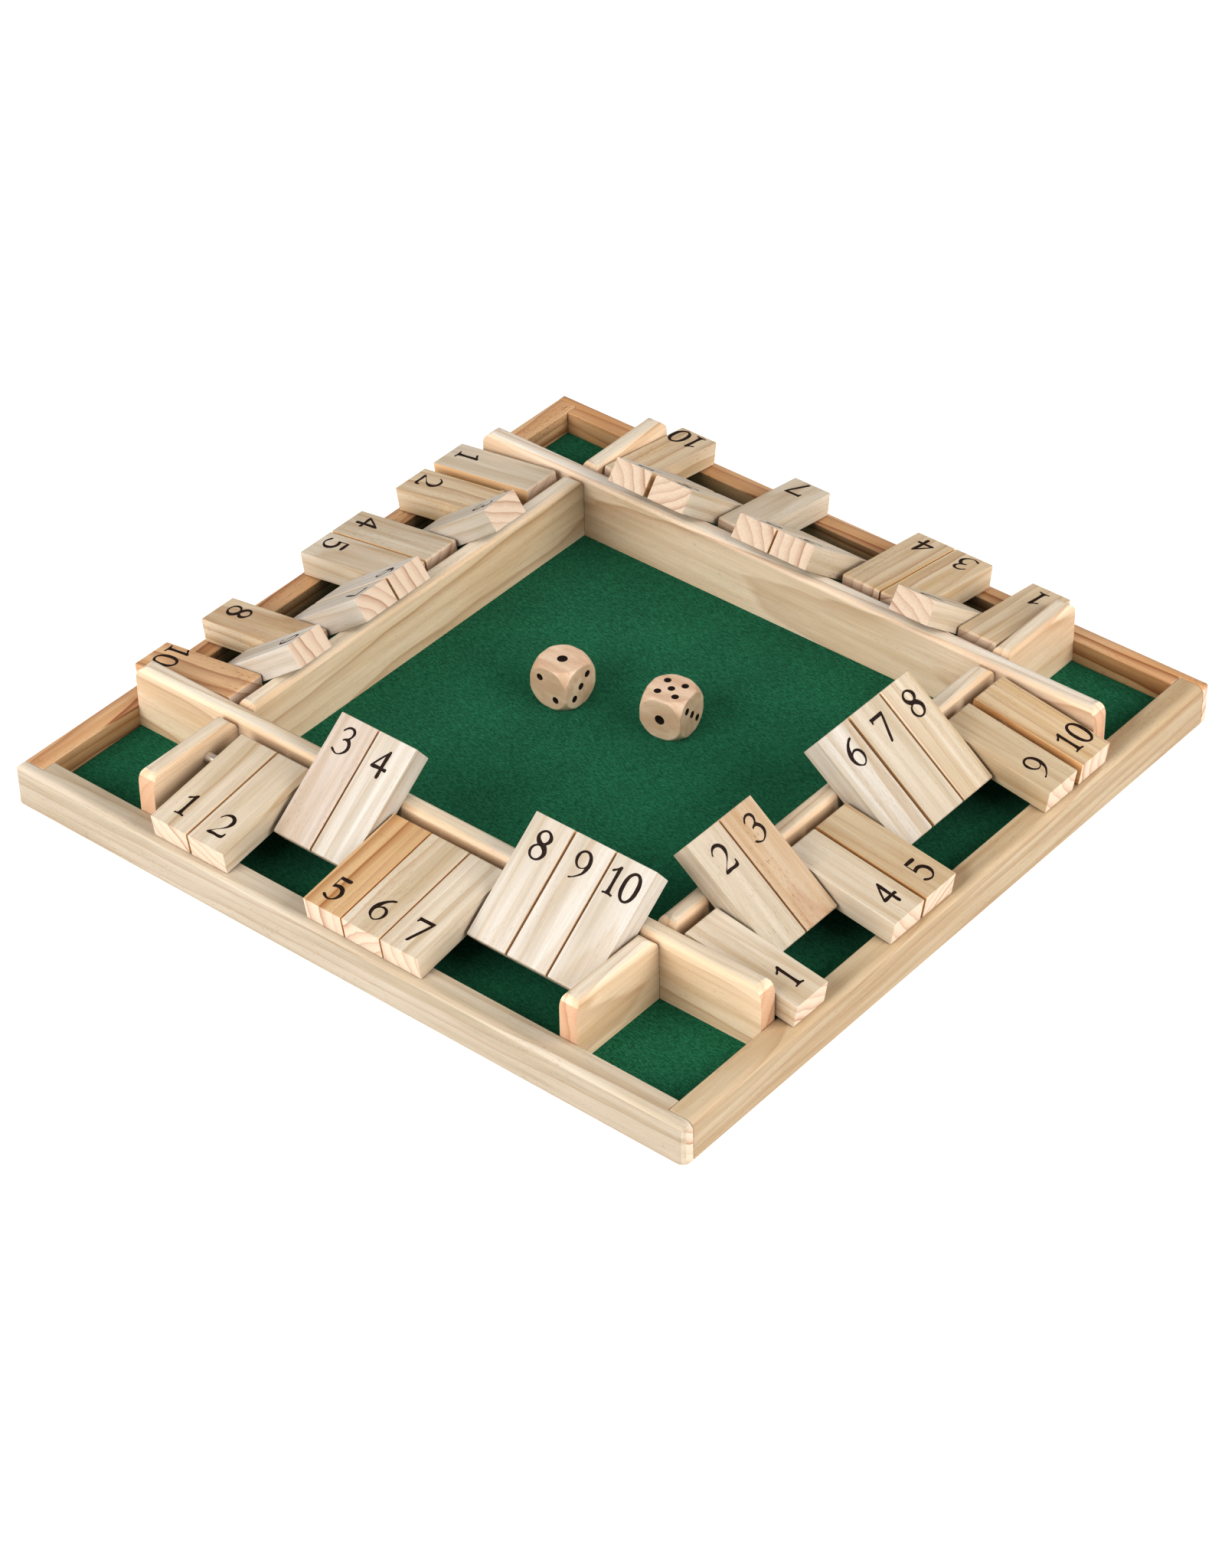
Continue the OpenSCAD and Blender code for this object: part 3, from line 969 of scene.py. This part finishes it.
@dataclass
class TileRow:
    """A row of ten numbered tiles on a steel rod.

    Its woods are the tone and cut of each tile's board. Its prints say how far a tile's number was
    stamped off its middle, along the row, and how far from its end.
    """

    side: Side
    numerals: Numerals
    woods: str
    prints: dict[int, tuple[float, float]]
    length: float = 44.7
    tail: float = 11.6
    thickness: float = 9.0
    rod_radius: float = 2.0
    rod_half: float = 89.6
    rod_chamfer: float = 0.4
    flat_angle: float = -8.8699
    raised_angle: float = 142.2594
    flipped_above: float = 40.0
    eased: float = 0.22
    tiles: int = 10
    first_board: int = 20
    print_gap: float = 4.5

    def node(self, number: int) -> str:
        """A tile's name in the CAD model."""
        return f"{self.side.label}_tile_{number}"

    def raised(self, number: int) -> bool | None:
        """Says whether a tile stands flipped at rest.

        Args:
            number: The tile's number.

        Returns:
            Whether it does, or None where the row has no such tile.
        """
        if not 1 <= number <= self.tiles:
            return None
        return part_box(self.node(number))[1][2] > self.flipped_above * MM

    def tile_axes(self, number: int) -> Matrix:
        """A tile's own axes: towards its number end, along the rod and off its face.

        Args:
            number: The tile's number.

        Returns:
            Its place and turn about the rod, in millimetres.
        """
        angle = math.radians(self.raised_angle if self.raised(number) else self.flat_angle)
        joint = next(j for j in frame["joints"] if j["child"] == self.node(number))
        out, up = math.cos(angle), math.sin(angle)
        turned = Matrix(((0, 1, 0), (-out, 0, up), (up, 0, out))).to_4x4()
        return Matrix.Translation(Vector(joint["pos_m"]) / MM) @ self.side.turn() @ turned

    def build_tile(self, number: int) -> None:
        """Makes one tile.

        Args:
            number: Its number.
        """
        node, axes = self.node(number), self.tile_axes(number)
        bm = shape_of_node(node)
        rod, along = axes.translation, axes.to_3x3() @ Vector((0, 1, 0))

        def in_bore(edge: BMEdge) -> bool:
            """True for an edge of the bore, which stays sharp."""
            off = edge.verts[0].co - rod
            return (off - along * off.dot(along)).length < 2 * self.rod_radius

        ease_edges(bm, self.eased, spare=in_bore)
        tile = finish_piece(f"{node}_pine", bm, node, node)
        tone, sawn = self.woods.split(", ")[number - 1].split()
        # Painted bounce light: sides that lie against a neighbour in the same state get a warm
        # tint, for the light caught in the joint.
        joint_lit_sides = tuple(step for step in (-1, 1)
                       if self.raised(number + step) == self.raised(number))
        board = self.first_board + self.tiles * self.side.value + number
        PineFinish(Pine[tone], Sawn[sawn], board).dress(tile.data, node, axes, joint_lit_sides)

    def build_number(self, number: int) -> None:
        """Prints a tile's number on both of its faces.

        Args:
            number: The number.
        """
        node, axes = self.node(number), self.tile_axes(number)
        shift, gap = self.prints.get(number, (0.0, self.print_gap))
        end = self.length - self.tail - gap
        proud = self.thickness / 2 + self.numerals.ink / 2
        upper = Matrix(((0, -1, 0, end), (1, 0, 0, shift), (0, 0, 1, proud), (0, 0, 0, 1)))
        top = end - self.numerals.height
        lower = Matrix(((0, 1, 0, top), (1, 0, 0, shift), (0, 0, -1, -proud), (0, 0, 0, 1)))
        bm = self.numerals.number(number, [axes @ upper, axes @ lower])
        ink = finish_piece(f"{node}_number", bm, node)
        ink.data.materials.append(InkFinish().material(f"{node}_ink"))

    def build_rod(self) -> None:
        """Makes the steel rod through the tiles."""
        node = f"{self.side.label}_rod"
        axes = middle_of(node) @ self.side.turn()
        bm = bmesh.new()
        bmesh.ops.create_cone(bm, cap_ends=True, segments=48, radius1=self.rod_radius,
                              radius2=self.rod_radius, depth=2 * self.rod_half)
        round_edges(bm, sharp_edges(bm), self.rod_chamfer)
        bmesh.ops.transform(bm, matrix=axes @ Matrix.Rotation(QUARTER_TURN, 4, "Y"), verts=bm.verts)
        rod = finish_piece(f"{node}_steel", bm, "board", node)
        rod.data.materials.append(SteelFinish().material(f"{node}_steel", axes))

    def build(self) -> None:
        """Makes the rod, the tiles and their numbers."""
        self.build_rod()
        for number in range(1, self.tiles + 1):
            self.build_tile(number)
            self.build_number(number)


@dataclass
class Die:
    """A die: a cube with soft edges, its corners rounded by a ball, and sunk painted pips."""

    name: str
    yaw: float
    faces: tuple[int, ...]
    turned_faces: tuple[int, ...] = ()
    side: float = 16.0
    ball: float = 11.38
    softness: float = 44.0
    blend: float = 0.012
    cuts: int = 63
    crease: float = 40.0
    pitch: float = 3.4
    pip: float = 2.6
    one_pip: float = 3.7
    depth: float = 0.4

    SPOTS: ClassVar[dict[int, list[tuple[int, int]]]] = {
        1: [(0, 0)],
        2: [(-1, 1), (1, -1)],
        3: [(-1, 1), (0, 0), (1, -1)],
        4: [(-1, -1), (-1, 1), (1, -1), (1, 1)],
        5: [(0, 0), (-1, -1), (-1, 1), (1, -1), (1, 1)],
        6: [(-1, -1), (-1, 0), (-1, 1), (1, -1), (1, 0), (1, 1)],
    }

    def _axes(self) -> Matrix:
        """The die's place and turn, in millimetres."""
        return middle_of(self.name) @ Matrix.Rotation(math.radians(self.yaw), 4, "Z")

    def _block(self) -> BMesh:
        """Makes the block before its pips are cut.

        Returns:
            The block, about its own middle.
        """
        bm = bmesh.new()
        bmesh.ops.create_cube(bm, size=2.0)
        bmesh.ops.subdivide_edges(bm, edges=bm.edges, cuts=self.cuts, use_grid_fill=True)
        half, power = self.side / 2, self.softness
        for vert in bm.verts:
            way = Vector(math.tan(c * math.pi / 4) for c in vert.co).normalized()
            cube = half / sum(abs(c) ** power for c in way) ** (1 / power)
            apart = cube - self.ball
            vert.co = way * (self.ball + (apart - math.sqrt(apart * apart + self.blend)) / 2)
        return bm

    def _cutters(self) -> BMesh:
        """Makes the balls that the pips are hollowed with.

        Returns:
            All of them, about the block's middle.
        """
        bm = bmesh.new()
        half = self.side / 2
        ways = [Matrix.Rotation(s * QUARTER_TURN, 4, "Z") @ Matrix.Rotation(QUARTER_TURN, 4, "X")
                for s in range(4)]
        ways += [Matrix(), Matrix.Scale(-1, 4, (0, 0, 1))]
        for face, (count, way) in enumerate(zip(self.faces, ways)):
            wide = self.one_pip if count == 1 else self.pip
            ball = (wide * wide / 4 + self.depth ** 2) / (2 * self.depth)
            swing = Matrix.Rotation(QUARTER_TURN * (face in self.turned_faces), 4, "Z")
            for x, y in self.SPOTS[count]:
                lift = Matrix.Translation(
                    (x * self.pitch, y * self.pitch, half + ball - self.depth))
                bmesh.ops.create_uvsphere(bm, u_segments=40, v_segments=24, radius=ball,
                                          matrix=way @ swing @ lift)
        bmesh.ops.recalc_face_normals(bm, faces=bm.faces)
        return bm

    def build(self) -> None:
        """Makes the die."""
        axes = self._axes()
        finish = DieFinish(len(self.turned_faces) + 1)
        materials = [finish.wood(f"{self.name}_wood", axes), finish.paint(f"{self.name}_paint")]
        parts = []
        for index, bm in enumerate((self._block(), self._cutters())):
            for face in bm.faces:
                face.material_index = index
            parts.append(put_in_scene(f"{self.name}_part", mesh_of(f"{self.name}_part", bm)))
            for material in materials:
                parts[-1].data.materials.append(material)
        cut = parts[0].modifiers.new("pips", "BOOLEAN")
        cut.operation, cut.object, cut.solver = "DIFFERENCE", parts[1], "EXACT"
        bm = bmesh.new()
        bm.from_mesh(settled_mesh(parts[0]))
        for part in parts:
            bpy.data.objects.remove(part)
        bmesh.ops.transform(bm, matrix=axes, verts=bm.verts)
        die = finish_piece(f"{self.name}_hardwood", bm, self.name, self.name,
                           self.crease)
        for material in materials:
            die.data.materials.append(material)


# --- The studio ---


def looking(place: Vector, way: Vector) -> Matrix:
    """The place and turn of a light or camera that looks one way, with its top upwards."""
    return Matrix.Translation(place) @ way.to_track_quat("-Z", "Y").to_matrix().to_4x4()


@dataclass(frozen=True)
class SoftPanel:
    """A soft light that faces the board: its power in watts, and its place and size in metres."""

    name: str
    power: float
    place: Triple
    width: float = 1.5
    height: float = 1.3

    def build(self) -> None:
        """Hangs the light."""
        light = bpy.data.lights.new(self.name, "AREA")
        light.shape, light.size, light.size_y = "RECTANGLE", self.width, self.height
        light.energy, light.color = self.power, DAYLIGHT
        lamp = put_in_scene(self.name, light)
        lamp.matrix_world = looking(Vector(self.place), -Vector(self.place))


@dataclass
class Studio:
    """A pale floor, soft light from all round and above, and the camera.

    The camera's aim and distance are in millimetres, its angles in degrees.
    """

    aim: Triple = (9.365, -8.084, 0.0)
    distance: float = 1501.54
    azimuth: float = 39.7497
    elevation: float = 38.3903
    roll: float = -0.7735
    focal_px: float = 5861.77
    image: tuple[int, int] = (1600, 2048)
    axis_px: tuple = (15.93, 3.6)
    sensor: float = 36.0
    nearest: float = 0.1
    farthest: float = 20.0
    floor_size: float = 6.0
    floor_grey: float = 0.55
    floor_glow: float = 0.64
    sky: float = 0.5
    contrast: float = 1.25
    panels: tuple[SoftPanel, ...] = (
        SoftPanel("left_panel", 40.5, (-0.5, -1.71, 0.93)),
        SoftPanel("right_panel", 37.5, (1.72, 0.38, 0.93)),
    )

    def build_camera(self) -> None:
        """Sets the camera where the photograph was taken from."""
        turn, lift = math.radians(self.azimuth), math.radians(self.elevation)
        back = Vector((math.sin(turn) * math.cos(lift), -math.cos(turn) * math.cos(lift),
                       math.sin(lift)))
        lens = bpy.data.cameras.new("camera")
        lens.sensor_width = self.sensor
        lens.lens = self.focal_px * lens.sensor_width / max(self.image)
        lens.shift_x = -self.axis_px[0] / max(self.image)
        lens.shift_y = -self.axis_px[1] / max(self.image)
        lens.clip_start, lens.clip_end = self.nearest, self.farthest
        camera = put_in_scene("camera", lens)
        place = (Vector(self.aim) + back * self.distance) * MM
        roll = Matrix.Rotation(math.radians(self.roll), 4, "Z")
        camera.matrix_world = looking(place, -back) @ roll
        bpy.context.scene.camera = camera

    def build_floor(self) -> None:
        """Lays the floor under the board."""
        bm = bmesh.new()
        bmesh.ops.create_grid(bm, x_segments=1, y_segments=1, size=self.floor_size / 2)
        graph = Graph("pale_floor")
        floor = put_in_scene("floor", mesh_of("floor", bm))
        floor.data.materials.append(graph.surface(
            Base_Color=(*(self.floor_grey,) * 3, 1.0), Roughness=0.9,
            Emission_Color=(1.0,) * 4, Emission_Strength=self.floor_glow))

    def build_lights(self) -> None:
        """Hangs the soft lights."""
        world = bpy.data.worlds.new("studio")
        bpy.context.scene.world = world
        world.use_nodes = True
        background = world.node_tree.nodes["Background"]
        background.inputs["Color"].default_value = (*DAYLIGHT, 1.0)
        background.inputs["Strength"].default_value = self.sky
        for panel in self.panels:
            panel.build()

    def build(self) -> None:
        """Sets up the studio."""
        view = bpy.context.scene.view_settings
        view.view_transform, view.gamma = "Standard", 1 / self.contrast
        self.build_camera()
        self.build_floor()
        self.build_lights()


def tile_rows(numerals: Numerals) -> list[TileRow]:
    """Sets out the four rows, with each tile's wood and how its number was stamped."""
    return [
        TileRow(Side.FRONT, numerals, (
            "CREAM RIFT, CREAM STEEP, ROSE FLAT, WHITE RIFT, HONEY BROAD, "
            "CREAM SLASH, CREAM QUARTER, WHITE RIFT, WHITE STEEP, WHITE FLAT"), {
            1: (-0.7, 5.4), 2: (-0.7, 4.9), 3: (-1.4, 3.1), 4: (-1.3, 4.3),
            5: (-0.8, 4.1), 6: (0.3, 5.4), 7: (0.0, 4.6), 8: (-0.1, 4.2),
            9: (-0.4, 3.8), 10: (-0.5, 3.4)}),
        TileRow(Side.RIGHT, numerals, (
            "CREAM STEEP, BISCUIT FLAT, SALMON FLAT, CREAM RIFT, TAN SLASH, "
            "WHITE STEEP, BISCUIT RIFT, CREAM QUARTER, TAN RIFT, STRAW QUARTER"), {
            1: (0.6, 5.4), 2: (0.6, 5.0), 3: (1.0, 3.8), 4: (1.0, 5.2),
            5: (0.9, 4.1), 6: (1.5, 5.2), 7: (0.8, 4.8), 8: (0.7, 4.7),
            9: (-0.4, 5.6), 10: (1.4, 5.0)}),
        TileRow(Side.BACK, numerals, (
            "STRAW RIFT, CREAM STEEP, STRAW STEEP, STRAW QUARTER, CREAM QUARTER, "
            "CREAM RIFT, CREAM FLAT, CREAM SLASH, WHITE RIFT, STRAW SLASH"), {
            1: (0.3, 3.2), 3: (-0.7, 1.7), 4: (0.6, 2.2), 7: (1.3, 1.2),
            10: (1.3, 1.3)}),
        TileRow(Side.LEFT, numerals, (
            "CREAM STEEP, STRAW SLASH, WHITE STEEP, CREAM RIFT, CREAM FLAT, "
            "WHITE QUARTER, WHITE RIFT, STRAW FLAT, WHITE QUARTER, AMBER SLASH"), {
            1: (-1.4, 3.7), 2: (-1.2, 3.4), 4: (-2.2, 3.5), 5: (-1.9, 2.6),
            8: (-1.7, 3.9), 10: (-1.6, 3.2)}),
    ]


def main() -> None:
    """Builds the studio and then the board, piece by piece."""
    logging.basicConfig(level=logging.INFO, format="%(name)s: %(message)s")
    Studio().build()
    OuterFrame().build()
    FeltBed().build()
    TrayWalls().build()
    for row in tile_rows(Numerals()):
        row.build()
    Die("die_one", 0.0, (2, 3, 5, 4, 1, 6), (1,)).build()
    Die("die_two", 8.7, (1, 3, 6, 4, 5, 2)).build()


if __name__ == "__main__":
    main()
